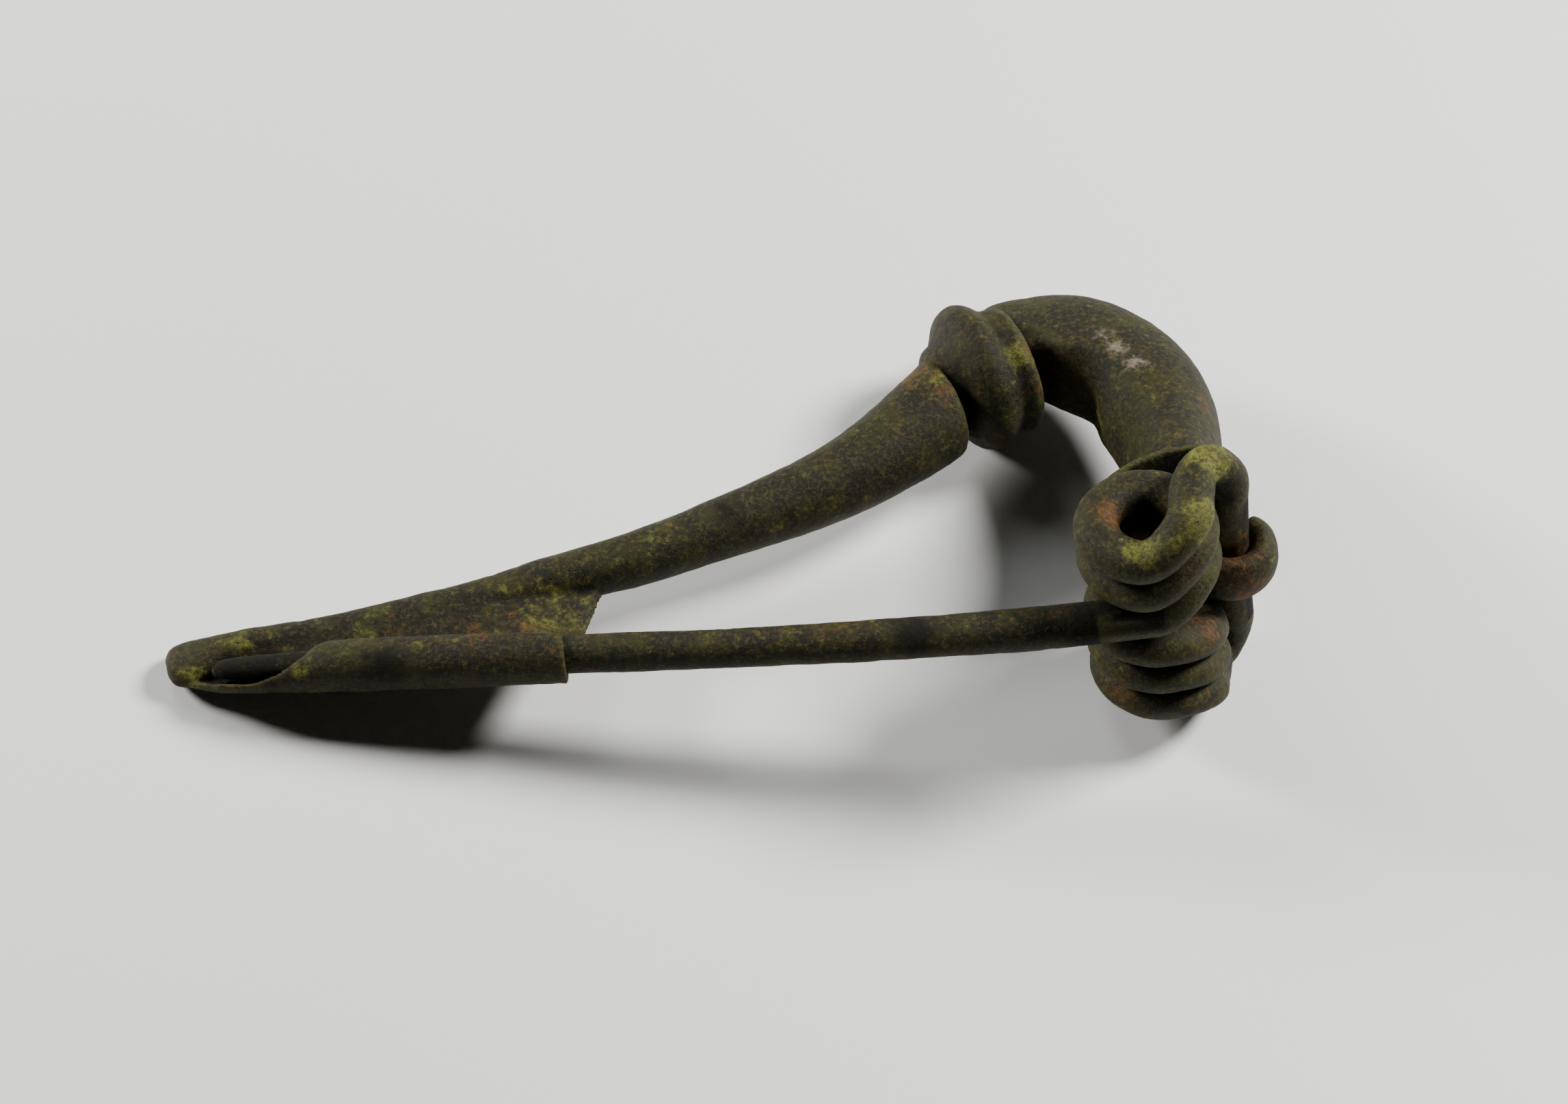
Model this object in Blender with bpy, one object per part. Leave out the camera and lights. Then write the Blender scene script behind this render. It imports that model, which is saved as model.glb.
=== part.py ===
"""A Roman bronze bow brooch, cast and coiled from one bar, lying on its side.

Lengths are in millimetres, and the forms of the bow, knob and catch are in hundredths of the bow's
length. The brooch is modelled upright in its own frame: +X runs along the pin towards the head, +Z from
the pin to the bow and Y along the spring, with the origin in the middle of the spring. At the end the
whole brooch is laid down on the side that it rests on.
"""

import math

import bmesh
import bpy
import numpy as np
from mathutils import Matrix, Vector

MM = 0.001

# The bow's length from the head to the tip of the foot, which sets its height and its sections too
BOW_LENGTH = 50.1

# The wire of the spring and the pin
WIRE_RADIUS = 0.96
WIRE_DEPTH_RADIUS = 1.10
COIL_RADIUS = 2.39
TURN_GAP = 0.08
MIDDLE_GAP = 0.25
FULL_TURNS = 2
LEAVE_ANGLE = 60.0
CROSSING_SHARE = 0.8
NEAR_CROSSING = (-15.0, 65.0)
FAR_CROSSING = (10.0, 110.0)
CHORD_ANGLE = 29.0
CHORD_CLEARANCE = 0.12
SPRING_SKEW = 4.6
STEPS_PER_TURN = 20
WIRE_SIDES = 12
PATH_STEPS = 3

# The bend from the coil to the chord, in wire radii: out from the coil's middle line, and up. Then the
# chord's own run: out from the chord, in from the bend and up. The near bend swings out further.
BEND_RISE = ((-0.05, 0.31), (0.39, 1.57))
CHORD_RUN = ((-0.57, 0.31, 0.05), (-0.10, 1.56, 0.21), (0.0, 2.71, 0.0), (0.0, 3.75, 0.0))
BEND_OVERHANG = 0.06
NEAR_SWING = (0.10, 0.38, 0.22, 0.0)

# Where the wire runs into the head, in shares of the head's own place
WIRE_INTO_HEAD = ((0.66, 0.55), (1.10, 0.75), (1.22, 1.04))

# The coil's wire is deeper than wide. The section becomes round over this length of the pin, and within
# this share of the coil's radius where the wire leaves the coil.
PIN_EASE = 30.0
COIL_EASE = 0.33

# The pin begins this many coil radii back. Its stations give how far back they are, their side offset in
# wire radii, their height in coil radii and their radius in wire radii.
PIN_ROOT = 1.25
PIN_STATIONS = (
    (15.97, -1.198, -1.046, 1.021),
    (37.92, -1.167, -0.900, 0.990),
    (56.89, -1.042, -0.607, 0.958),
    (75.85, -0.990, -0.356, 0.833),
    (88.82, -0.896, -0.167, 0.573),
    (91.02, -0.771, -0.138, 0.396),
    (91.62, -0.750, -0.130, 0.208),
)

# The head's foot, in radii of the coil's outside. The bow's sections are placed back and up from it.
HEAD_PLACE = (0.516, 1.375)

# The bow and foot. Each section has its place back from the head and above it, the direction that the
# bow runs there in degrees, and its half width, its depth outwards and its depth inwards. The trumpet's
# last value is how much flatter than round its inner side is.
FOOT_SECTIONS = (
    (100.00, -7.98, 8.0, 0.70, 1.00, 1.20),
    (99.20, -8.08, 8.0, 1.40, 2.30, 2.10),
    (97.01, -7.68, 10.0, 1.80, 2.50, 2.59),
    (94.01, -6.89, 10.0, 1.84, 2.16, 2.00),
    (90.62, -6.09, 9.0, 1.80, 1.80, 1.60),
    (83.63, -5.39, 10.0, 1.84, 1.76, 1.70),
    (76.65, -4.29, 12.0, 2.00, 2.00, 1.90),
    (69.06, -2.87, 14.0, 2.20, 2.20, 2.10),
    (61.88, -1.00, 16.0, 2.44, 2.44, 2.30),
    (54.29, 0.80, 18.0, 2.69, 2.69, 2.69),
    (46.71, 3.39, 20.0, 2.95, 2.95, 2.95),
    (35.93, 7.58, 26.0, 3.59, 3.59, 3.59),
    (29.14, 11.58, 33.0, 4.19, 4.09, 4.19),
    (22.65, 16.87, 31.0, 4.89, 4.99, 4.89),
    (21.26, 18.06, 26.0, 4.59, 5.59, 4.09),
)
TRUMPET_SECTIONS = (
    (22.75, 17.56, 30.0, 3.59, 3.59, 3.59, 1.00),
    (18.36, 20.76, 24.0, 3.79, 5.19, 3.79, 1.00),
    (14.57, 22.65, 14.0, 3.89, 8.08, 2.00, 1.30),
    (11.78, 22.26, 1.0, 4.19, 9.48, 1.20, 1.30),
    (8.98, 21.16, -21.0, 4.99, 10.38, 1.30, 1.25),
    (5.59, 19.26, -42.0, 5.59, 9.28, 1.80, 1.20),
    (2.28, 16.17, -61.0, 5.99, 7.49, 4.30, 1.10),
    (0.40, 12.18, -75.0, 6.49, 6.19, 5.10, 1.00),
    (-0.30, 7.98, -88.0, 7.39, 5.19, 4.59, 1.00),
    (-0.30, 3.79, -93.0, 8.48, 4.59, 4.39, 1.00),
    (0.00, 0.00, -90.0, 9.18, 4.39, 4.39, 1.00),
)
BOW_SIDES = 20
BOW_STEPS = 3

# The knob: its centre back from the head and above it, the direction of its axis, and its profile as
# (along the axis, radius, how far its middle drops towards the pin)
KNOB_CENTRE = (17.37, 22.06)
KNOB_LEAN = 21.0
KNOB_PROFILE = (
    (-3.49, 4.59, 0.00),
    (-3.19, 5.69, 0.00),
    (-2.50, 6.83, 0.00),
    (-1.60, 7.49, 0.00),
    (-0.40, 7.70, 0.00),
    (0.60, 7.23, 0.10),
    (1.50, 6.55, 0.30),
    (2.10, 6.43, 0.50),
    (2.99, 6.49, 0.64),
    (3.79, 5.99, 0.70),
    (4.09, 3.99, 0.70),
)
KNOB_SIDES = 28

# The thin support plate over the spring. Its line is in shares of the head's place, and its insets are
# shares of its half width, each with how much the plate shrinks there.
PLATE_LINE = ((-1.072, 0.713), (-0.390, 0.879), (0.405, 0.990), (1.238, 1.038), (1.944, 1.031))
PLATE_THICKNESS = 0.35
PLATE_HALF_WIDTH = 5.0
PLATE_INSETS = ((0.0, 0.12), (0.05, 0.04), (0.18, 0.0))

# The hook that holds the chord: a flat strip. Its root is in shares of the head's place, and the height
# above the chord at which it turns straight down is in wire radii.
HOOK_RADIUS = 0.68
HOOK_BREADTH = 1.4
HOOK_TAPER = (0.96, 0.80)
HOOK_CLEARANCE = 0.10
HOOK_ROOT = (1.22, 1.084)
HOOK_DROP = 1.25
HOOK_END_ANGLE = 48.0
HOOK_SIDES = 10
HOOK_STEPS = 11

# The catch: a sheet below the foot whose edge is rolled round the pin. It is flat from the foot down to
# the fold, a share of the way up from the pin. Its near side swells to meet the foot.
CATCH_THICKNESS = 0.42
CATCH_CLEARANCE = 0.08
CATCH_START = 57.88
CATCH_TUCK_START = 91.82
CATCH_END = 94.61
CATCH_SLANT = 4.39
CATCH_FOLD = 0.3
CATCH_SWELL = 0.8
CATCH_SWELL_EASE = 12.0
CATCH_STEPS = 20
ROLL_STEPS = 12
ROLL_EDGE = 0.5

# Near the tip the roll is roomier and then tucks in: its side, its height and its reach, in wire radii
CATCH_ROOM = 0.21
CATCH_TUCK = (0.42, 0.42, -0.36)

# How far round the pin the catch's edge goes, from the foot's side, at each distance back
ROLL_ANGLES = (
    (57.88, 228.0),
    (80.24, 228.0),
    (82.83, 160.0),
    (85.03, 122.0),
    (88.02, 88.0),
    (94.61, 100.0),
)

BRONZE_COLOUR = (0.075, 0.060, 0.033, 1.0)
BRONZE_ROUGHNESS = 0.55
BRONZE_METALLIC = 0.35


def share(hundredths):
    """A length given in hundredths of the bow's length."""
    return hundredths * BOW_LENGTH / 100.0


def coil_outside():
    return COIL_RADIUS + WIRE_DEPTH_RADIUS


def near_head(across, up):
    """The place across and above the spring of a point given in shares of the head's own place."""
    return across * HEAD_PLACE[0] * coil_outside(), up * HEAD_PLACE[1] * coil_outside()


def from_head(back, rise):
    """The place along and above the pin of a point given back and up from the head's foot."""
    x, z = near_head(1.0, 1.0)
    return x - share(back), z + share(rise)


def pin_rows():
    """The pin's stations in millimetres: how far back, side offset, height and radius."""
    rows = []
    for back, side, height, radius in PIN_STATIONS:
        rows.append((share(back), side * WIRE_RADIUS, height * COIL_RADIUS, radius * WIRE_RADIUS))
    return rows


def clear_scene():
    for thing in list(bpy.data.objects):
        bpy.data.objects.remove(thing, do_unlink=True)


def smooth_rows(rows, steps):
    """Rows read from a smooth curve through the given rows, with this many steps between two of them."""
    rows = np.array(rows, float)
    before = 2 * rows[0] - rows[1]
    after = 2 * rows[-1] - rows[-2]
    padded = np.vstack([before, rows, after])
    found = []
    for index in range(1, len(rows)):
        p0, p1, p2, p3 = padded[index - 1 : index + 3]
        for step in range(steps):
            t = step / steps
            bend = (2 * p0 - 5 * p1 + 4 * p2 - p3) * t**2
            twist = (3 * p1 - p0 - 3 * p2 + p3) * t**3
            found.append(p1 + ((p2 - p0) * t + bend + twist) / 2)
    found.append(rows[-1])
    return np.array(found)


def skin(name, rings):
    """A closed solid through rings of points, with a flat face on its first and last ring."""
    bm = bmesh.new()
    loops = [[bm.verts.new(Vector(point) * MM) for point in ring] for ring in rings]
    sides = len(loops[0])
    for near, far in zip(loops, loops[1:]):
        for side in range(sides):
            following = (side + 1) % sides
            bm.faces.new((near[side], near[following], far[following], far[side]))
    bm.faces.new(loops[0][::-1])
    bm.faces.new(loops[-1])
    bmesh.ops.recalc_face_normals(bm, faces=bm.faces)
    mesh = bpy.data.meshes.new(name)
    bm.to_mesh(mesh)
    bm.free()
    thing = bpy.data.objects.new(name, mesh)
    bpy.context.scene.collection.objects.link(thing)
    return thing


def tube(name, points, radii, sides, breadth=1.0, stretches=None):
    """A bar along the points, this many times as broad as deep. Each stretch deepens its section away
    from the spring's axis."""
    points = [Vector(point) for point in points]
    across = None
    rings = []
    for index, point in enumerate(points):
        ahead = points[min(index + 1, len(points) - 1)]
        behind = points[max(index - 1, 0)]
        along = (ahead - behind).normalized()
        if across is None:
            across = along.cross(Vector((0.0, 0.0, 1.0))).normalized()
        across = (across - along * across.dot(along)).normalized()
        other = along.cross(across)
        ring = []
        for side in range(sides):
            angle = math.tau * (side + 0.5) / sides
            spoke = (across * math.cos(angle) * breadth + other * math.sin(angle)) * radii[index]
            if stretches:
                outward = Vector((point.x, 0.0, point.z)).normalized()
                outward = (outward - along * outward.dot(along)).normalized()
                spoke += outward * outward.dot(spoke) * (stretches[index] - 1.0)
            ring.append(point + spoke)
        rings.append(ring)
    return skin(name, rings)


def on_coil(angle, side):
    """The point of the wire's middle at this angle in degrees, which is 0 at the bottom and 90 in front."""
    turn = math.radians(angle)
    return (COIL_RADIUS * math.sin(turn), side, -COIL_RADIUS * math.cos(turn))


def turn_pitch():
    return 2 * WIRE_RADIUS + TURN_GAP


def innermost():
    """How far the innermost turns' middles lie from the brooch's middle plane, at the bottom."""
    return WIRE_RADIUS + MIDDLE_GAP / 2


def chord_place():
    """The chord's middle in the plane across the spring, resting beside the coil."""
    reach = coil_outside() + WIRE_RADIUS + CHORD_CLEARANCE
    lean = math.radians(CHORD_ANGLE)
    return reach * math.cos(lean), reach * math.sin(lean)


def coil_side(angle, crossing):
    """How far out the wire lies at this angle. Most of each turn's step comes in front of the coil."""
    turn = math.floor((angle - crossing[0]) / 360.0)
    within = angle - 360.0 * turn
    passed = (within - crossing[0]) / (crossing[1] - crossing[0])
    passed = min(max(passed, 0.0), 1.0)
    eased = passed * passed * (3.0 - 2.0 * passed)
    steps = turn + CROSSING_SHARE * eased + (1.0 - CROSSING_SHARE) * within / 360.0
    return innermost() + turn_pitch() * steps


def half_spring(side_sign, first_angle, crossing, swings):
    """Wire points of one half of the spring, from its innermost turn out to where it meets the chord."""
    last_angle = 360.0 * FULL_TURNS + LEAVE_ANGLE
    count = math.ceil((last_angle - first_angle) / 360.0 * STEPS_PER_TURN)
    points = []
    for step in range(count + 1):
        angle = first_angle + (last_angle - first_angle) * step / count
        points.append(on_coil(angle, side_sign * coil_side(angle, crossing)))
    chord_x, chord_z = chord_place()
    reach = innermost() + turn_pitch() * (FULL_TURNS + CROSSING_SHARE + BEND_OVERHANG)
    bend = [points[-2], points[-1]]
    for out, rise in BEND_RISE:
        bend.append((COIL_RADIUS + out * WIRE_RADIUS, side_sign * reach, rise * WIRE_RADIUS))
    for (out, inwards, rise), swing in zip(CHORD_RUN, swings):
        side = side_sign * (reach - inwards * WIRE_RADIUS)
        bend.append((chord_x + (out + swing) * WIRE_RADIUS, side, chord_z + rise * WIRE_RADIUS))
    rows = smooth_rows(bend, PATH_STEPS)
    points.extend(tuple(row) for row in rows[PATH_STEPS + 1 : -PATH_STEPS])
    return points


def wire_stretch(point):
    """How much deeper than wide the wire is here: all of it round the coil, less along the pin."""
    x, _, z = point
    full = WIRE_DEPTH_RADIUS / WIRE_RADIUS
    if x < 0.0:
        return 1.0 + (full - 1.0) * max(0.0, 1.0 + (x + COIL_RADIUS) / share(PIN_EASE))
    clear = (math.hypot(x, z) - COIL_RADIUS) / COIL_RADIUS
    return 1.0 + (full - 1.0) * max(0.0, 1.0 - abs(clear) / COIL_EASE)


def spring_wire():
    """Pin, near half of the spring, chord, far half and the end that runs into the head, as one bar."""
    pin = [(-back, side, height, radius) for back, side, height, radius in reversed(pin_rows())]
    pin.append((-PIN_ROOT * COIL_RADIUS, -innermost(), -COIL_RADIUS, WIRE_RADIUS))
    pin = smooth_rows(pin, PATH_STEPS)
    near = half_spring(-1.0, 0.0, NEAR_CROSSING, NEAR_SWING)
    far = half_spring(1.0, -180.0, FAR_CROSSING, (0.0,) * len(CHORD_RUN))
    chord_x, chord_z = chord_place()
    skew = math.tan(math.radians(SPRING_SKEW))
    into_head = [(x, 0.0, z) for x, z in (near_head(*place) for place in WIRE_INTO_HEAD)]
    spring = near + [(chord_x, 0.0, chord_z)] + far[::-1]
    stretches = [wire_stretch(row[:3]) for row in pin]
    stretches.extend(wire_stretch(point) for point in spring + into_head)
    points = [tuple(row[:3]) for row in pin]
    points.extend((x + skew * side, side, height) for x, side, height in spring)
    points.extend(into_head)
    radii = [row[3] for row in pin] + [WIRE_RADIUS] * (len(points) - len(pin))
    return tube("spring_wire", points, radii, WIRE_SIDES, stretches=stretches)


def bow_ring(back, rise, lean, half_width, outer, inner, flatness=1.0):
    """One section of the bow, across the direction that the bow runs there."""
    x, z = from_head(back, rise)
    turn = math.radians(lean)
    ring = []
    for side in range(BOW_SIDES):
        angle = math.tau * side / BOW_SIDES
        lift = share(outer) * math.sin(angle)
        if lift < 0.0:
            lift = -share(inner) * min(1.0, -flatness * math.sin(angle))
        across = share(half_width) * math.cos(angle)
        ring.append((x - math.sin(turn) * lift, across, z + math.cos(turn) * lift))
    return ring


def bow_length(name, sections):
    rings = [bow_ring(*row) for row in smooth_rows(sections, BOW_STEPS)]
    return skin(name, rings)


def knob():
    turn = math.radians(KNOB_LEAN)
    along = Vector((math.cos(turn), 0.0, math.sin(turn)))
    outward = Vector((-math.sin(turn), 0.0, math.cos(turn)))
    middle_x, middle_z = from_head(*KNOB_CENTRE)
    rings = []
    for distance, radius, drop in KNOB_PROFILE:
        middle = Vector((middle_x, 0.0, middle_z)) + along * share(distance) - outward * share(drop)
        ring = []
        for side in range(KNOB_SIDES):
            angle = math.tau * side / KNOB_SIDES
            spoke = outward * math.sin(angle) + Vector((0.0, math.cos(angle), 0.0))
            ring.append(middle + spoke * share(radius))
        rings.append(ring)
    return skin("knob", rings)


def offset_outline(line, thickness):
    """A closed outline round an open line of (a, b) points. The thickness is one value or one a point."""
    line = np.array(line, float)
    half = np.reshape(thickness, (-1, 1)) / 2
    tangents = np.gradient(line, axis=0)
    tangents /= np.linalg.norm(tangents, axis=1)[:, None]
    normals = np.column_stack([-tangents[:, 1], tangents[:, 0]])
    return np.vstack([line + normals * half, (line - normals * half)[::-1]])


def support_plate():
    """The thin plate over the spring, narrower towards its two ends' rounded corners."""
    line = smooth_rows([near_head(*place) for place in PLATE_LINE], PATH_STEPS)
    outline = offset_outline(line, PLATE_THICKNESS)
    ends = [(inset - 1.0, shrink) for inset, shrink in PLATE_INSETS]
    ends += [(1.0 - inset, shrink) for inset, shrink in reversed(PLATE_INSETS)]
    centre = outline.mean(axis=0)
    rings = []
    for side, shrink in ends:
        rings.append([(a + (centre[0] - a) * shrink, side * PLATE_HALF_WIDTH, b) for a, b in outline])
    return skin("support_plate", rings)


def chord_hook():
    """A strip out of the head, down between the coils and up round the outside of the chord."""
    chord_x, chord_z = chord_place()
    reach = WIRE_RADIUS + HOOK_CLEARANCE + HOOK_RADIUS
    root_x, root_z = near_head(*HOOK_ROOT)
    points = [
        (root_x, 0.0, root_z),
        (chord_x - reach, 0.0, chord_z + HOOK_DROP * WIRE_RADIUS),
    ]
    for step in range(HOOK_STEPS + 1):
        angle = math.radians(180.0 + (180.0 + HOOK_END_ANGLE) * step / HOOK_STEPS)
        points.append((chord_x + reach * math.cos(angle), 0.0, chord_z + reach * math.sin(angle)))
    radii = [HOOK_RADIUS] * (len(points) - len(HOOK_TAPER)) + [HOOK_RADIUS * taper for taper in HOOK_TAPER]
    return tube("chord_hook", points, radii, HOOK_SIDES, breadth=HOOK_BREADTH)


def read_station(rows, back):
    """The values of a table whose first column is the distance back from the spring."""
    table = np.array(sorted(rows))
    return [np.interp(back, table[:, 0], table[:, column]) for column in range(1, table.shape[1])]


def catch_ring(back, slant):
    """The catch's section: flat down from the foot, then round the pin as far as the roll goes here."""
    _, height, radius = read_station(pin_rows(), back)
    foot_rows = []
    for foot_back, rise, _, half_width, _, _ in FOOT_SECTIONS:
        x, z = from_head(foot_back, rise)
        foot_rows.append((-x, z, share(half_width)))
    foot_height, foot_half_width = read_station(foot_rows, back)
    (end_angle,) = read_station([(share(place), angle) for place, angle in ROLL_ANGLES], back)
    start, tuck_start, end = share(CATCH_START), share(CATCH_TUCK_START), share(CATCH_END)
    roomy = np.clip((back - start) / (tuck_start - start), 0.0, 1.0)
    tucked = np.clip((back - tuck_start) / (end - tuck_start), 0.0, 1.0)
    swollen = np.clip((back - start) / share(CATCH_SWELL_EASE), 0.0, 1.0)
    reach = radius + CATCH_CLEARANCE + CATCH_THICKNESS / 2 + CATCH_ROOM * WIRE_RADIUS * roomy
    side = CATCH_THICKNESS / 2 - reach + tucked * CATCH_TUCK[0] * WIRE_RADIUS
    height += tucked * CATCH_TUCK[1] * WIRE_RADIUS
    reach += tucked * CATCH_TUCK[2] * WIRE_RADIUS
    line = [(side + reach, foot_height), (side + reach, height + CATCH_FOLD * (foot_height - height))]
    thickness = [CATCH_THICKNESS, CATCH_THICKNESS]
    for step in range(ROLL_STEPS + 1):
        round_it = step / ROLL_STEPS
        angle = math.radians(-end_angle * round_it)
        line.append((side + reach * math.cos(angle), height + reach * math.sin(angle)))
        thickness.append(CATCH_THICKNESS * (1.0 - (1.0 - ROLL_EDGE) * round_it**2))
    outline = offset_outline(line, thickness)
    outline[-1, 0] -= CATCH_SWELL * foot_half_width * swollen
    rise = slant * (outline[:, 1] - height) / (foot_height - height)
    return [(-back + lift, a, b) for (a, b), lift in zip(outline, rise)]


def catch():
    rings = []
    for step in range(CATCH_STEPS + 1):
        along = step / CATCH_STEPS
        back = share(CATCH_START + (CATCH_END - CATCH_START) * along)
        rings.append(catch_ring(back, share(CATCH_SLANT) * (1.0 - along)))
    return skin("catch", rings)


def bronze():
    material = bpy.data.materials.new("bronze")
    material.use_nodes = True
    shader = material.node_tree.nodes["Principled BSDF"]
    shader.inputs["Base Color"].default_value = BRONZE_COLOUR
    shader.inputs["Roughness"].default_value = BRONZE_ROUGHNESS
    shader.inputs["Metallic"].default_value = BRONZE_METALLIC
    return material


def join_to(body, extras):
    """Unites the helper solids with the body and keeps the helpers out of the render."""
    for extra in extras:
        union = body.modifiers.new("join " + extra.name, "BOOLEAN")
        union.operation = "UNION"
        union.solver = "EXACT"
        union.object = extra
        extra.hide_render = True
        extra.display_type = "WIRE"


def solid_points(body):
    """The finished solid's points, and the middle of its mass."""
    graph = bpy.context.evaluated_depsgraph_get()
    finished = body.evaluated_get(graph)
    mesh = finished.to_mesh()
    mesh.calc_loop_triangles()
    points = np.array([vertex.co for vertex in mesh.vertices])
    corners = points[[tuple(triangle.vertices) for triangle in mesh.loop_triangles]]
    finished.to_mesh_clear()
    volumes = np.linalg.det(corners)
    middle = (corners.sum(axis=1) * volumes[:, None]).sum(axis=0) / (4.0 * volumes.sum())
    return points, Vector(middle)


def resting_normal(points, middle):
    """The way that the brooch's far side faces when it lies on it: the hull face under its weight."""
    bm = bmesh.new()
    for point in points:
        bm.verts.new(point)
    made = bmesh.ops.convex_hull(bm, input=bm.verts)
    best = None
    for face in made["geom"]:
        if not isinstance(face, bmesh.types.BMFace) or face.normal.length < 0.5:
            continue
        normal = face.normal.copy()
        foot = middle + normal * normal.dot(face.verts[0].co - middle)
        inside = True
        for loop in face.loops:
            edge = loop.link_loop_next.vert.co - loop.vert.co
            inside = inside and edge.cross(foot - loop.vert.co).dot(normal) > 0.0
        if inside and (best is None or normal.y > best.y):
            best = normal
    bm.free()
    return best


def lay_down(body, helpers):
    """Lays the brooch on its far side, with the pin along X and the middle of its base at the origin."""
    points, middle = solid_points(body)
    up = -resting_normal(points, middle)
    along = (Vector((1.0, 0.0, 0.0)) - up * up.x).normalized()
    turn = Matrix((along, up.cross(along), up))
    turned = points @ np.array(turn).T
    low, high = turned.min(axis=0), turned.max(axis=0)
    base = Vector(((low[0] + high[0]) / 2, (low[1] + high[1]) / 2, low[2]))
    stand = bpy.data.objects.new("lying", None)
    bpy.context.scene.collection.objects.link(stand)
    stand.matrix_world = Matrix.Translation(-base) @ turn.to_4x4()
    for thing in [body] + helpers:
        thing.parent = stand


def main():
    clear_scene()
    body = bow_length("brooch", FOOT_SECTIONS)
    helpers = [
        bow_length("trumpet", TRUMPET_SECTIONS),
        knob(),
        support_plate(),
        chord_hook(),
        spring_wire(),
        catch(),
    ]
    join_to(body, helpers)
    body.data.materials.append(bronze())
    lay_down(body, helpers)


main()
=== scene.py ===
"""A Roman bronze bow brooch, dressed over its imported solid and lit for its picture.

The brooch is drawn upright in its own frame, in millimetres: +X runs along the pin towards the head, +Z
from the pin to the bow and Y along the spring, with the origin in the middle of the spring. The forms of
the bow, knob and catch are in hundredths of the bow's length. The brooch is then laid on its far side,
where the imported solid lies.
"""

import math

import bmesh
import bpy
import numpy as np
from mathutils import Matrix, Vector, noise
from mathutils.bvhtree import BVHTree


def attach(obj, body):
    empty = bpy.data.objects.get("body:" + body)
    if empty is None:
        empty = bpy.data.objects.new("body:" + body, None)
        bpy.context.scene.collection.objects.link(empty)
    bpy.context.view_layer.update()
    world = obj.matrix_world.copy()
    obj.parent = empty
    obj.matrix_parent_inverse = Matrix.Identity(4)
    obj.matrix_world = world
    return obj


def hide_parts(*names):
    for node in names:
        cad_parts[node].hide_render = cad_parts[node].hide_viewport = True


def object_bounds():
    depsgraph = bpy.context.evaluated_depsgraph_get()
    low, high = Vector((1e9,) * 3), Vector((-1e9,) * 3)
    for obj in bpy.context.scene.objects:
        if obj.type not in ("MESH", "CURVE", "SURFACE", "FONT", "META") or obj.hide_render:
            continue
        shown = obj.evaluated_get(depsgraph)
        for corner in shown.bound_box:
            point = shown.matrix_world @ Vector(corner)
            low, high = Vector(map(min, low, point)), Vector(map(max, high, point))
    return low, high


bl_info = {
    "name": "Bronze bow brooch",
    "version": (1, 0, 0),
    "blender": (4, 5, 0),
    "location": "3D View > Sidebar > Brooch",
    "description": "Builds a patinated bronze bow brooch and its studio",
    "category": "Add Mesh",
}

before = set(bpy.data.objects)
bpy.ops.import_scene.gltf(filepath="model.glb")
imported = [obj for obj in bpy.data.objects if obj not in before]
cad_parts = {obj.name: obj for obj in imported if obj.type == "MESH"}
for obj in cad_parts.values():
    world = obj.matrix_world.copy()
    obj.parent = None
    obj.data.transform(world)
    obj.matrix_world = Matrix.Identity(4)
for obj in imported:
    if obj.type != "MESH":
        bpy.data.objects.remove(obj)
SOLID_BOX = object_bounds()
MM = 0.001

# How the brooch lies: how far it leans round its length and along it, and where its spring's middle is
LIE_TWIST = 9.53
LIE_TILT = 7.773
SPRING_PLACE = (20.757, -8.1, 7.395)

# The spring's wire: its turns, and where each half crosses from turn to turn
FULL_TURNS = 2
LEAVE_ANGLE = 60.0
CROSSING_SHARE = 0.8
NEAR_CROSSING = (-15.0, 65.0)
FAR_CROSSING = (10.0, 110.0)
CHORD_ANGLE = 29.0
CHORD_CLEARANCE = 0.12
SPRING_SKEW = 4.6
TURN_STEP = 18.0
FINE_STEPS = 5
PATH_STEPS = 14
WIRE_SIDES = 40

# The bend from the coil to the chord, in wire radii: out from the coil's middle line, and up. Then the
# chord's own run: out from the chord, in from the bend and up. The near bend swings out further.
BEND_RISE = ((-0.05, 0.31), (0.39, 1.57))
CHORD_RUN = ((-0.57, 0.31, 0.05), (-0.10, 1.56, 0.21), (0.0, 2.71, 0.0), (0.0, 3.75, 0.0))
BEND_OVERHANG = 0.06
NEAR_SWING = (0.10, 0.38, 0.22, 0.0)

# Where the wire runs into the head, in shares of the head's own place
WIRE_INTO_HEAD = ((0.66, 0.55), (1.10, 0.75), (1.22, 1.04))

# The coil's wire is deeper than wide. The section becomes round over this length of the pin, and within
# this share of the coil's radius where the wire leaves the coil.
PIN_EASE = 30.0
COIL_EASE = 0.33

# The pin begins this many coil radii back. Its stations give how far back they are, their side offset in
# wire radii, their height in coil radii and their radius in wire radii.
PIN_ROOT = 1.25
PIN_STEPS = 40
PIN_STATIONS = (
    (15.97, -1.198, -1.046, 1.021),
    (37.92, -1.167, -0.900, 0.990),
    (56.89, -1.042, -0.607, 0.958),
    (75.85, -0.990, -0.356, 0.833),
    (88.82, -0.896, -0.167, 0.573),
    (91.02, -0.771, -0.138, 0.396),
    (91.62, -0.750, -0.130, 0.208),
)

# The head's foot, in radii of the coil's outside. The bow's sections are placed back and up from it.
HEAD_PLACE = (0.516, 1.375)

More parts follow.
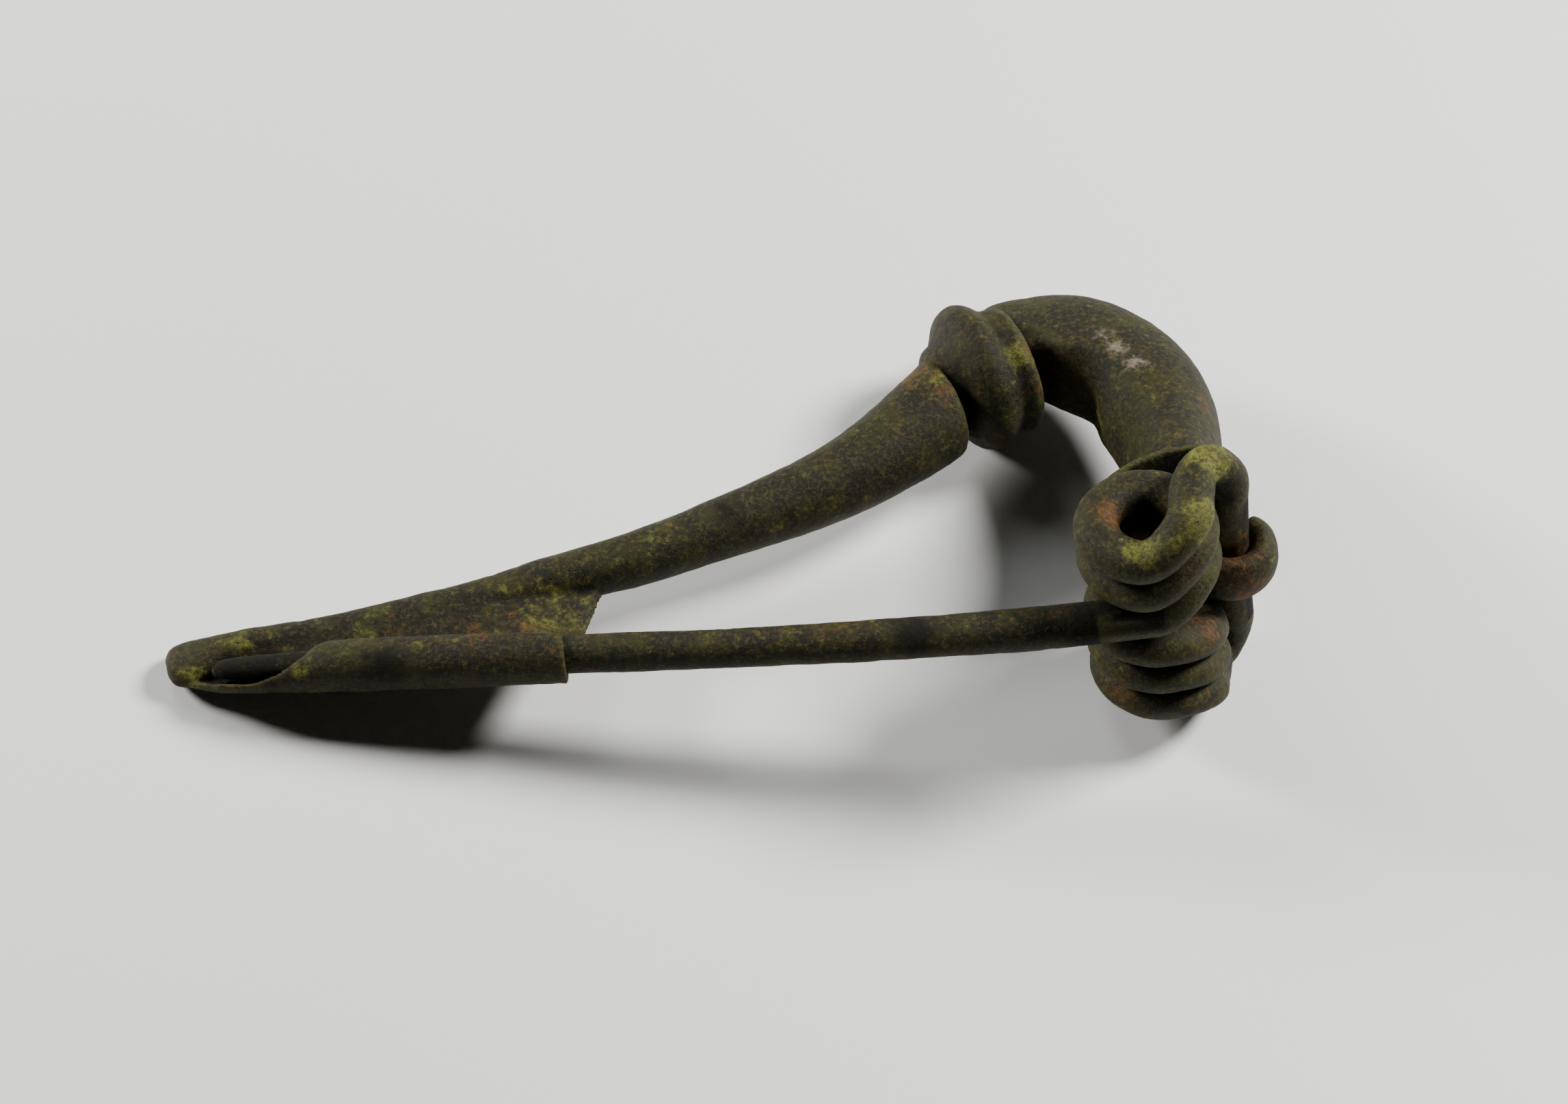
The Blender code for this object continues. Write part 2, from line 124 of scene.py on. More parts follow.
# The bow and foot. Each section has its place back from the head and above it, the direction that the
# bow runs there in degrees, and its half width, its depth outwards and its depth inwards. The trumpet's
# last value is how much flatter than round its inner side is.
FOOT_SECTIONS = (
    (100.00, -7.98, 8.0, 0.70, 1.00, 1.20),
    (99.20, -8.08, 8.0, 1.40, 2.30, 2.10),
    (97.01, -7.68, 10.0, 1.80, 2.50, 2.59),
    (94.01, -6.89, 10.0, 1.84, 2.16, 2.00),
    (90.62, -6.09, 9.0, 1.80, 1.80, 1.60),
    (83.63, -5.39, 10.0, 1.84, 1.76, 1.70),
    (76.65, -4.29, 12.0, 2.00, 2.00, 1.90),
    (69.06, -2.87, 14.0, 2.20, 2.20, 2.10),
    (61.88, -1.00, 16.0, 2.44, 2.44, 2.30),
    (54.29, 0.80, 18.0, 2.69, 2.69, 2.69),
    (46.71, 3.39, 20.0, 2.95, 2.95, 2.95),
    (35.93, 7.58, 26.0, 3.59, 3.59, 3.59),
    (29.14, 11.58, 33.0, 4.19, 4.09, 4.19),
    (22.65, 16.87, 31.0, 4.89, 4.99, 4.89),
    (21.26, 18.06, 26.0, 4.59, 5.59, 4.09),
)
TRUMPET_SECTIONS = (
    (22.75, 17.56, 30.0, 3.59, 3.59, 3.59, 1.00),
    (18.36, 20.76, 24.0, 3.79, 5.19, 3.79, 1.00),
    (14.57, 22.65, 14.0, 3.89, 8.08, 2.00, 1.30),
    (11.78, 22.26, 1.0, 4.19, 9.48, 1.20, 1.30),
    (8.98, 21.16, -21.0, 4.99, 10.38, 1.30, 1.25),
    (5.59, 19.26, -42.0, 5.59, 9.28, 1.80, 1.20),
    (2.28, 16.17, -61.0, 5.99, 7.49, 4.30, 1.10),
    (0.40, 12.18, -75.0, 6.49, 6.19, 5.10, 1.00),
    (-0.30, 7.98, -88.0, 7.39, 5.19, 4.59, 1.00),
    (-0.30, 3.79, -93.0, 8.48, 4.59, 4.39, 1.00),
    (0.00, 0.00, -90.0, 9.18, 4.39, 4.39, 1.00),
)
BOW_SIDES = 80
BOW_STEPS = 12

# The knob: its centre back from the head and above it, the direction of its axis, and its profile as
# (along the axis, radius, how far its middle drops towards the pin)
KNOB_CENTRE = (17.37, 22.06)
KNOB_LEAN = 21.0
KNOB_PROFILE = (
    (-5.40, 3.60, 0.00),
    (-4.90, 4.30, 0.00),
    (-3.90, 4.75, 0.00),
    (-3.30, 5.60, 0.00),
    (-2.50, 6.83, 0.00),
    (-1.60, 7.49, 0.00),
    (-0.40, 7.70, 0.00),
    (0.60, 7.23, 0.10),
    (1.35, 6.62, 0.25),
    (1.95, 6.47, 0.45),
    (2.60, 6.60, 0.60),
    (3.30, 6.55, 0.66),
    (3.85, 5.90, 0.70),
    (4.09, 3.99, 0.70),
)
KNOB_SIDES = 96
KNOB_STEPS = 6

# The thin support plate over the spring. Its line is in shares of the head's place, and its insets are
# shares of its half width, each with how much the plate shrinks there.
PLATE_LINE = ((-1.072, 0.713), (-0.390, 0.879), (0.405, 0.990), (1.238, 1.038), (1.944, 1.031))
PLATE_INSETS = ((0.0, 0.12), (0.05, 0.04), (0.18, 0.0))

# The hook that holds the chord: a strip this many times as broad as thick, whose last tenth tapers. Its
# root is in shares of the head's place, and the height above the chord at which it turns straight down is
# in wire radii. It is pressed a little into the chord.
HOOK_BREADTH = 1.8
HOOK_TAPER = 0.9
HOOK_TAPER_FROM = 0.9
HOOK_GRIP = 0.02
HOOK_ROOT = (1.22, 1.084)
HOOK_DROP = 1.25
HOOK_END_ANGLE = 48.0
HOOK_STEPS = 48
HOOK_SIDES = 32

# The catch: a sheet below the foot whose edge is rolled round the pin. Its front edge slants from this
# many of the roll's radii above the pin up to the foot. The sheet is flat from the foot down to the fold,
# a share of the way up from the pin. Its near side swells to meet the foot, and its rolled edge thins.
CATCH_CLEARANCE = 0.03
CATCH_START = 57.3
CATCH_TUCK_START = 91.82
CATCH_END = 94.61
CATCH_SLANT = 4.39
SLANT_FROM = 1.6
CATCH_FOLD = 0.3
CATCH_SWELL = 1.05
CATCH_SWELL_EASE = 12.0
CATCH_STEPS = 90
ROLL_STEPS = 48
ROLL_EDGE = 0.4

# Near the tip the roll is roomier and then tucks in: its side, its height and its reach, in wire radii
CATCH_ROOM = 0.21
CATCH_TUCK = (0.42, 0.42, -0.36)

# How far round the pin the catch's edge goes, in degrees from the sheet, at each distance back
ROLL_ANGLES = (
    (57.30, 204.0),
    (62.00, 218.0),
    (68.00, 228.0),
    (80.24, 228.0),
    (82.83, 160.0),
    (85.03, 122.0),
    (88.02, 88.0),
    (94.61, 100.0),
)

# The grain of the cast skin, and how many times its sharp edges are rubbed down
CASTING_GRAIN = 0.132
RUB_DOWN = 2
RUB_AMOUNT = 0.6

# The skin of the patina over the metal, and its waves, dents and pits: how many to the millimetre, and
# how deep they go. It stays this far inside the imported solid's box. Each piece has its own share of the
# shift in the pattern.
SKIN_SWELL = 0.018
SKIN_WAVES = ((0.28, 0.03), (0.9, 0.028), (2.6, 0.012))
PITS_TO_MM = 0.9
PIT_DEPTH = 0.04
PIT_NARROWNESS = 3.2
BOX_INSET = 0.004
PATTERN_SHIFT = (17.3, 5.1, 9.7)

# Where the patina shows something of its own, or painted light: the place on the brooch, its radius and its
# strength. The first three dark spots are painted shade round the pin's point in the roll, and the others are
# dark clouds on the foot, the roll and the pin.
COPPER_SPOTS = (
    (-10.4, -1.6, 14.4, 2.6, 0.68),
    (-4.9, -3.2, 13.0, 1.2, 0.6),
    (-5.0, -3.3, 11.4, 1.2, 0.6),
    (1.2, -5.2, -2.4, 1.8, 0.5),
    (-9.0, -2.2, 12.6, 1.8, 0.55),
    (-4.0, -2.6, 14.9, 1.8, 0.8),
    (-4.2, -1.0, 13.9, 1.6, 0.7),
    (-1.9, -5.9, 0.2, 1.7, 1.1),
    (-0.9, -6.3, -1.1, 1.2, 1.0),
    (-1.8, 4.4, -2.2, 2.2, 0.6),
    (3.9, -0.5, 1.3, 2.8, 1.0),
    (4.6, 0.4, 0.2, 2.2, 0.9),
    (2.6, 0.6, -1.8, 2.2, 0.7),
    (-32.8, -2.4, -0.6, 1.8, 0.5),
    (-30.5, 0.0, 1.2, 2.0, 0.45),
    (-33.5, 0.0, 1.3, 1.8, 0.45),
    (-37.0, -0.2, 1.2, 2.0, 0.40),
    (3.6, -2.5, 9.6, 1.8, 0.5),
    (-15.5, -2.1, -1.6, 2.5, 0.4),
)
GREEN_SPOTS = (
    (2.8, -7.4, 1.6, 2.4, 1.0),
    (1.9, -7.1, -1.6, 2.0, 1.0),
    (-1.0, -6.6, -2.6, 2.0, 1.0),
    (0.4, -7.0, -3.0, 1.4, 0.8),
    (-47.0, -0.7, -0.5, 1.5, 0.75),
    (-38.5, -0.3, 1.3, 2.4, 0.45),
    (-44.6, -0.8, 1.3, 1.8, 0.55),
    (-41.6, -1.6, -1.6, 1.0, 0.6),
    (-1.4, 0.1, 12.1, 2.0, 0.6),
    (-9.4, -2.0, 13.4, 2.4, 0.45),
    (-1.8, 1.8, -2.6, 1.6, 0.4),
    (-29.6, 0.0, 2.0, 4.5, 0.42),
    (-24.0, -1.3, 5.4, 3.0, 0.30),
    # These three spots on the knob's second ring are partly green patina and partly a painted highlight.
    (-5.0, -3.0, 14.2, 1.6, 0.9),
    (-4.9, -3.2, 12.4, 1.5, 0.9),
    (-5.2, -3.2, 10.6, 1.3, 0.8),
)
SCRAPES = (
    (-0.7, -2.7, 15.4, 1.2, 0.7),
    (-0.1, -2.9, 14.2, 1.4, 0.9),
    (0.7, -3.0, 12.9, 1.3, 0.9),
    (-0.8, -2.8, 11.6, 1.2, 0.6),
)
PAINTED_SHADE_AND_DARK_SPOTS = (
    # The first three spots are painted shade inside the roll round the pin's point.
    (-44.8, -0.8, -0.5, 1.9, 1.0),
    (-43.0, -1.0, -0.7, 2.1, 1.0),
    (-41.4, -0.9, -0.7, 1.8, 1.0),
    (-20.4, -1.5, 6.6, 2.2, 0.45),
    (-37.5, -1.9, -1.6, 3.2, 0.5),
    (-12.0, -2.0, -2.8, 3.0, 0.5),
    (-3.5, -1.1, -3.0, 2.6, 0.7),
)

# Creases and ridges, told by how far the skin moves when it is relaxed so often and so much. Skin that
# moves by half the depth is fully in a crease or on a ridge.
HOLLOW_RELAX = (14, 0.7)
HOLLOW_DEPTH = 0.16

# Shelter, told by rays of this reach that start just above the skin and lean out by the spread, and then
# evened out over the skin. It is painted shade: it darkens the patina's colour where the brooch is shut in.
SHELTER_REACH = 2.5
SHELTER_RAYS = 6
SHELTER_SPREAD = 52.0
SHELTER_START = 0.12
SHELTER_RELAX = (3, 0.7)

# The patina's patterns: how many clouds to the millimetre, their detail, roughness and warp
BROWN_CLOUDS = (0.5, 5.0, 0.65, 0.2)
MOTTLE_CLOUDS = (1.7, 5.0, 0.7, 0.0)
GRAIN_CLOUDS = (4.2, 5.0, 0.75, 0.0)
DUST_CLOUDS = (9.0, 3.0, 0.65, 0.0)
BLOOM_CLOUDS = (1.3, 6.0, 0.72, 0.2)
RUST_CLOUDS = (1.9, 6.0, 0.7, 0.0)
STREAK_CLOUDS = (2.4, 6.0, 0.8, 0.0)
PIT_CLOUDS = (5.2, 2.0, 0.5, 0.0)
FLOOR_CLOUDS = (0.03, 3.0, 0.55, 0.0)

# The range of its pattern in which each layer comes in
BROWN_RANGE = (0.42, 0.58)
MOTTLE_RANGE = (0.47, 0.62)
GRAIN_RANGE = (0.48, 0.64)
SOIL_AND_SHADE_RANGE = (0.62, 1.0)
THIN_RANGE = (0.38, 0.58)
BLOOM_RANGE = (0.52, 0.68)
RUST_RANGE = (0.55, 0.70)
SPOT_RANGE = (0.12, 0.75)
RIDGE_RANGE = (0.10, 0.40)
SCRAPE_RANGE = (0.25, 1.20)
DUST_RANGE = (0.60, 0.72)
PIT_RANGE = (0.60, 0.72)

# How much of what is below each layer hides. The layers that lie all over have a second value, for how
# much less they hide on the soil and painted shade.
BROWN_COVER = 0.8
MOTTLE_COVER = 0.65
GRAIN_COVER = 0.55
SOIL_AND_SHADE_COVER = 0.85
BLOOM_COVER = (0.2, 0.18)
GREEN_COVER = 0.9
FRECKLE_COVER = (0.42, 0.35)
COPPER_COVER = 0.85
RIDGE_COVER = 0.45
SCRAPE_COVER = 0.7
DUST_COVER = (0.5, 0.4)

# What makes the soil and painted shade: shelter, which is painted shade where the brooch is shut in, the
# dark spots, of which the first three are painted shade round the pin's point, and the grain. Then how ragged
# the edges of the spots and of the scrape are, and the least that green and copper show where the grain thins
# them.
SHADE_FROM_SHELTER = 0.8
SOIL_AND_SHADE_FROM_SPOTS = 1.1
SOIL_GRAIN = 0.4
SPOT_RAGGED = 1.7
SCRAPE_RAGGED = 3.0
THIN_LEAST = 0.2

# The skin's fine relief and its roughness, which is that of bare patina, of the grain and of the soil and
# painted shade. Then its sheen, and the floor's darker clouds and its roughness.
RELIEF_GRAIN = 0.6
RELIEF_MOTTLE = 0.5
RELIEF_DUST = 0.25
RELIEF_PITS = 0.5
RELIEF_STRENGTH = 0.7
RELIEF_HEIGHT = 0.1
ROUGHNESS = (0.52, 0.3, 0.2)
SHEEN = 0.2
FLOOR_SHADE = 0.95
FLOOR_ROUGHNESS = (0.45, 0.15)

# The camera, the lights and the floor. Each light has its bearing and height in degrees, its width and
# its colour.
CAMERA_PLACE = (-19.88, -112.39, 174.13)
CAMERA_TURN = (32.93, -5.08, -4.19)
CAMERA_LENS = 94.2
CAMERA_SENSOR = 36.0
CAMERA_NEAREST = 10.0
LIGHTS = (
    ("right", 22.0, 42.0, 110.0, (1.0, 0.99, 0.97)),
    ("left", 155.0, 22.0, 90.0, (1.0, 0.99, 0.96)),
    ("back", 118.0, 45.0, 140.0, (0.97, 0.98, 1.0)),
)
LIGHT_DISTANCE = 340.0
ROOM_COLOUR = (1.0, 1.0, 0.98, 1.0)
FLOOR_RADIUS = 1500.0
FLOOR_RINGS = 24
FLOOR_SIDES = 96


class WireSizes(bpy.types.PropertyGroup):
    """The sizes of the spring and the pin."""

    radius: bpy.props.FloatProperty(
        name="Wire radius", description="Half the wire's width", default=0.00096, unit="LENGTH"
    )
    depth_radius: bpy.props.FloatProperty(
        name="Wire depth radius",
        description="Half the wire's depth, away from the coil's middle",
        default=0.0011,
        unit="LENGTH",
    )
    coil_radius: bpy.props.FloatProperty(
        name="Coil radius",
        description="From the coil's axis to the wire's middle",
        default=0.00239,
        unit="LENGTH",
    )
    turn_gap: bpy.props.FloatProperty(
        name="Turn gap", description="Room between two turns", default=0.00008, unit="LENGTH"
    )
    middle_gap: bpy.props.FloatProperty(
        name="Middle gap", description="Room between the spring's two halves", default=0.00025, unit="LENGTH"
    )


class CastSizes(bpy.types.PropertyGroup):
    """The sizes of the cast bow, its sheets and its hook."""

    bow_length: bpy.props.FloatProperty(
        name="Bow length", description="From the head to the tip of the foot", default=0.0501, unit="LENGTH"
    )
    plate_half_width: bpy.props.FloatProperty(
        name="Plate half width",
        description="Half the plate's length along the spring",
        default=0.005,
        unit="LENGTH",
    )
    plate_thickness: bpy.props.FloatProperty(
        name="Plate thickness",
        description="Thickness of the plate over the spring",
        default=0.00035,
        unit="LENGTH",
    )
    hook_radius: bpy.props.FloatProperty(
        name="Hook radius",
        description="Half the thickness of the hook's strip",
        default=0.00074,
        unit="LENGTH",
    )
    catch_thickness: bpy.props.FloatProperty(
        name="Catch thickness", description="Thickness of the catch's sheet", default=0.00042, unit="LENGTH"
    )


class PatinaColours(bpy.types.PropertyGroup):
    """The colours of the old bronze."""

    olive: bpy.props.FloatVectorProperty(
        name="Olive",
        description="The patina's main colour",
        subtype="COLOR",
        size=3,
        default=(0.0195, 0.0190, 0.0034),
    )
    brown: bpy.props.FloatVectorProperty(
        name="Brown",
        description="The patina's darker clouds",
        subtype="COLOR",
        size=3,
        default=(0.0062, 0.0050, 0.0036),
    )
    tan: bpy.props.FloatVectorProperty(
        name="Tan", description="Dust and worn grains", subtype="COLOR", size=3, default=(0.064, 0.060, 0.013)
    )
    green: bpy.props.FloatVectorProperty(
        name="Green", description="Yellow-green bloom", subtype="COLOR", size=3, default=(0.150, 0.152, 0.024)
    )
    copper: bpy.props.FloatVectorProperty(
        name="Copper red",
        description="Orange-brown spots",
        subtype="COLOR",
        size=3,
        default=(0.115, 0.045, 0.009),
    )
    # The soil colour is also painted shade where the brooch is shut in and round the pin's point in the roll.
    soil_and_shade: bpy.props.FloatVectorProperty(
        name="Soil",
        description="Dark earth in the hollows",
        subtype="COLOR",
        size=3,
        default=(0.0035, 0.0028, 0.0015),
    )
    scrape: bpy.props.FloatVectorProperty(
        name="Scrape",
        description="The pale scraped place",
        subtype="COLOR",
        size=3,
        default=(0.26, 0.20, 0.16),
    )


class PictureSet(bpy.types.PropertyGroup):
    """The floor and the lights."""

    floor: bpy.props.FloatVectorProperty(
        name="Floor", description="The floor's colour", subtype="COLOR", size=3, default=(0.88, 0.88, 0.87)
    )
    room: bpy.props.FloatProperty(name="Room light", description="Light from all round", default=0.01)
    right: bpy.props.FloatProperty(name="Right light", description="Power of the main light", default=2.2)
    left: bpy.props.FloatProperty(name="Left light", description="Power of the low light", default=1.6)
    back: bpy.props.FloatProperty(name="Back light", description="Power of the light behind", default=0.25)


def in_mm(length):
    return length / MM


def share(hundredths):
    """A length given in hundredths of the bow's length."""
    return hundredths * in_mm(bpy.context.scene.cast_sizes.bow_length) / 100.0


def coil_outside():
    sizes = bpy.context.scene.wire_sizes
    return in_mm(sizes.coil_radius + sizes.depth_radius)


def near_head(across, up):
    """The place across and above the spring of a point given in shares of the head's own place."""
    return across * HEAD_PLACE[0] * coil_outside(), up * HEAD_PLACE[1] * coil_outside()


def from_head(back, rise):
    """The place along and above the pin of a point given back and up from the head's foot."""
    x, z = near_head(1.0, 1.0)
    return x - share(back), z + share(rise)


def pin_rows():
    """The pin's stations in millimetres: how far back, side offset, height and radius."""
    sizes = bpy.context.scene.wire_sizes
    radius = in_mm(sizes.radius)
    coil = in_mm(sizes.coil_radius)
    return [(share(back), side * radius, up * coil, thick * radius) for back, side, up, thick in PIN_STATIONS]


def smooth_rows(rows, steps):
    """Rows read from a smooth curve through the given rows, with this many steps between two of them."""
    rows = np.array(rows, float)
    padded = np.vstack([2 * rows[0] - rows[1], rows, 2 * rows[-1] - rows[-2]])
    found = []
    for index in range(1, len(rows)):
        p0, p1, p2, p3 = padded[index - 1 : index + 3]
        for step in range(steps):
            t = step / steps
            bend = (2 * p0 - 5 * p1 + 4 * p2 - p3) * t**2
            twist = (3 * p1 - p0 - 3 * p2 + p3) * t**3
            found.append(0.5 * (2 * p1 + (p2 - p0) * t + bend + twist))
    found.append(rows[-1])
    return np.array(found)


def skin(rings):
    """Points and faces of a closed form through rings of points, flat on its first and last ring."""
    rings = np.asarray(rings, float)
    count, sides, _ = rings.shape
    index = np.arange(count * sides).reshape(count, sides)
    beside = np.roll(index, -1, axis=1)
    quads = np.stack([index[:-1], beside[:-1], beside[1:], index[1:]], axis=-1).reshape(-1, 4)
    faces = quads.tolist()
    faces.append(index[0][::-1].tolist())
    faces.append(index[-1].tolist())
    return rings.reshape(-1, 3), faces


def bar(points, radii, sides, breadth=1.0, stretches=None):
    """A bar along the points, this many times as broad as deep. Each stretch deepens its section away
    from the spring's axis."""
    points = np.array(points, float)
    along = np.gradient(points, axis=0)
    along /= np.linalg.norm(along, axis=1)[:, None]
    across = np.cross(along[0], (0.0, 0.0, 1.0))
    angles = math.tau * (np.arange(sides) + 0.5) / sides
    rings = []
    for index, point in enumerate(points):
        way = along[index]
        across = across - way * across.dot(way)
        across /= np.linalg.norm(across)
        other = np.cross(way, across)
        spokes = np.outer(np.cos(angles), across) * breadth + np.outer(np.sin(angles), other)
        spokes *= radii[index]
        if stretches is not None:
            outward = np.array((point[0], 0.0, point[2]))
            outward -= way * outward.dot(way)
            outward /= np.linalg.norm(outward)
            spokes += np.outer(spokes @ outward, outward) * (stretches[index] - 1.0)
        rings.append(point + spokes)
    return skin(rings)


class Spring:
    """The spring's route, worked out from the wire's sizes."""

    def __init__(self, wire):
        self.radius = in_mm(wire.radius)
        self.depth = in_mm(wire.depth_radius)
        self.coil = in_mm(wire.coil_radius)
        self.pitch = 2 * self.radius + in_mm(wire.turn_gap)
        self.innermost = self.radius + in_mm(wire.middle_gap) / 2
        reach = self.coil + self.depth + self.radius + CHORD_CLEARANCE
        lean = math.radians(CHORD_ANGLE)
        self.chord = (reach * math.cos(lean), reach * math.sin(lean))

    def on_coil(self, angle, side):
        """The wire's middle at this angle in degrees, which is 0 at the bottom and 90 in front."""
        turn = math.radians(angle)
        return (self.coil * math.sin(turn), side, -self.coil * math.cos(turn))

    def coil_side(self, angle, crossing):
        """How far out the wire lies at this angle. Most of each turn's step comes in front of the coil."""
        turn = math.floor((angle - crossing[0]) / 360.0)
        within = angle - 360.0 * turn
        passed = (within - crossing[0]) / (crossing[1] - crossing[0])
        passed = min(max(passed, 0.0), 1.0)
        eased = passed * passed * (3.0 - 2.0 * passed)
        steps = turn + CROSSING_SHARE * eased + (1.0 - CROSSING_SHARE) * within / 360.0
        return self.innermost + self.pitch * steps

    def half(self, side_sign, first_angle, crossing, swings):
        """One half of the spring, from its innermost turn out to where it meets the chord."""
        last_angle = 360.0 * FULL_TURNS + LEAVE_ANGLE
        count = math.ceil((last_angle - first_angle) / TURN_STEP) * FINE_STEPS
        angles = np.linspace(first_angle, last_angle, count + 1)
        points = [self.on_coil(angle, side_sign * self.coil_side(angle, crossing)) for angle in angles]
        chord_x, chord_z = self.chord
        reach = self.innermost + self.pitch * (FULL_TURNS + CROSSING_SHARE + BEND_OVERHANG)
        bend = [points[-1 - FINE_STEPS], points[-1]]
        for out, rise in BEND_RISE:
            bend.append((self.coil + out * self.radius, side_sign * reach, rise * self.radius))
        for (out, inwards, rise), swing in zip(CHORD_RUN, swings):
            side = side_sign * (reach - inwards * self.radius)
            bend.append((chord_x + (out + swing) * self.radius, side, chord_z + rise * self.radius))
        rows = smooth_rows(bend, PATH_STEPS)
        points.extend(tuple(row) for row in rows[PATH_STEPS + 1 : -PATH_STEPS])
        return points

    def stretch(self, point):
        """How much deeper than wide the wire is here: all of it round the coil, less along the pin."""
        x, _, z = point
        full = self.depth / self.radius
        if x < 0.0:
            return 1.0 + (full - 1.0) * max(0.0, 1.0 + (x + self.coil) / share(PIN_EASE))
        clear = (math.hypot(x, z) - self.coil) / self.coil
        return 1.0 + (full - 1.0) * max(0.0, 1.0 - abs(clear) / COIL_EASE)

    def wire(self):
        """Pin, near half, chord, far half and the end that runs into the head, as one bar."""
        pin = [(-back, side, height, radius) for back, side, height, radius in reversed(pin_rows())]
        pin.append((-PIN_ROOT * self.coil, -self.innermost, -self.coil, self.radius))
        pin = smooth_rows(pin, PIN_STEPS)
        near = self.half(-1.0, 0.0, NEAR_CROSSING, NEAR_SWING)
        far = self.half(1.0, -180.0, FAR_CROSSING, (0.0,) * len(CHORD_RUN))
        skew = math.tan(math.radians(SPRING_SKEW))
        spring = near + [(self.chord[0], 0.0, self.chord[1])] + far[::-1]
        skewed = [(x + skew * side, side, height) for x, side, height in spring]
        head = [(x, 0.0, z) for x, z in (near_head(*place) for place in WIRE_INTO_HEAD)]
        head = [tuple(row) for row in smooth_rows([skewed[-1], *head], PATH_STEPS)[1:]]
        points = [tuple(row[:3]) for row in pin] + skewed + head
        stretches = [self.stretch(row[:3]) for row in pin]
        stretches.extend(self.stretch(point) for point in spring + head)
        radii = [row[3] for row in pin] + [self.radius] * (len(points) - len(pin))
        return bar(points, radii, WIRE_SIDES, stretches=stretches)

    def hook(self, half_thickness):
        """A strip out of the head, down between the coils and up round the outside of the chord."""
        chord_x, chord_z = self.chord
        reach = self.radius - HOOK_GRIP + half_thickness
        root_x, root_z = near_head(*HOOK_ROOT)
        points = [
            (root_x, 0.0, root_z),
            (chord_x - reach, 0.0, chord_z + HOOK_DROP * self.radius),
        ]
        for step in range(HOOK_STEPS + 1):
            angle = math.radians(180.0 + (180.0 + HOOK_END_ANGLE) * step / HOOK_STEPS)
            points.append((chord_x + reach * math.cos(angle), 0.0, chord_z + reach * math.sin(angle)))
        end = np.linspace(0.0, 1.0, len(points))
        taper = np.interp(end, (HOOK_TAPER_FROM, 1.0), (1.0, HOOK_TAPER))
        return bar(points, half_thickness * taper, HOOK_SIDES, breadth=HOOK_BREADTH)


def bow_length(sections):
    """A length of the bow through its sections, each across the direction that the bow runs there."""
    angles = math.tau * np.arange(BOW_SIDES) / BOW_SIDES
    rings = []
    for back, rise, lean, half_width, outer, inner, *flatness in smooth_rows(sections, BOW_STEPS):
        x, z = from_head(back, rise)
        turn = math.radians(lean)
        under = np.minimum(1.0, -np.sin(angles) * (flatness[0] if flatness else 1.0))
        lift = np.where(np.sin(angles) > 0.0, share(outer) * np.sin(angles), -share(inner) * under)
        across = share(half_width) * np.cos(angles)
        rings.append(np.column_stack([x - math.sin(turn) * lift, across, z + math.cos(turn) * lift]))
    return skin(rings)


def knob():
    turn = math.radians(KNOB_LEAN)
    along = np.array((math.cos(turn), 0.0, math.sin(turn)))
    outward = np.array((-math.sin(turn), 0.0, math.cos(turn)))
    sideways = np.array((0.0, 1.0, 0.0))
    middle_x, middle_z = from_head(*KNOB_CENTRE)
    centre = np.array((middle_x, 0.0, middle_z))
    angles = math.tau * np.arange(KNOB_SIDES) / KNOB_SIDES
    spokes = np.outer(np.sin(angles), outward) + np.outer(np.cos(angles), sideways)
    rings = []
    for distance, radius, drop in smooth_rows(KNOB_PROFILE, KNOB_STEPS):
        middle = centre + along * share(distance) - outward * share(drop)
        rings.append(middle + spokes * share(radius))
    return skin(rings)


def offset_outline(line, thickness):
    """A closed outline round an open line of (a, b) points. The thickness is one value or one a point."""
    line = np.array(line, float)
    half = np.reshape(thickness, (-1, 1)) / 2
    tangents = np.gradient(line, axis=0)
    tangents /= np.linalg.norm(tangents, axis=1)[:, None]
    normals = np.column_stack([-tangents[:, 1], tangents[:, 0]])
    return np.vstack([line + normals * half, (line - normals * half)[::-1]])


def support_plate(thickness, half_width):
    """The thin plate over the spring, narrower towards its two ends."""
    line = smooth_rows([near_head(*place) for place in PLATE_LINE], PATH_STEPS)
    outline = offset_outline(line, thickness)
    centre = outline.mean(axis=0)
    ends = [(inset - 1.0, shrink) for inset, shrink in PLATE_INSETS]
    ends += [(1.0 - inset, shrink) for inset, shrink in reversed(PLATE_INSETS)]
    rings = []
    for side, shrink in ends:
        rings.append([(a + (centre[0] - a) * shrink, side * half_width, b) for a, b in outline])
    return skin(rings)


def read_station(rows, back):
    """The values of a table whose first column is the distance back from the spring."""
    table = np.array(sorted(rows))
    return [np.interp(back, table[:, 0], table[:, column]) for column in range(1, table.shape[1])]


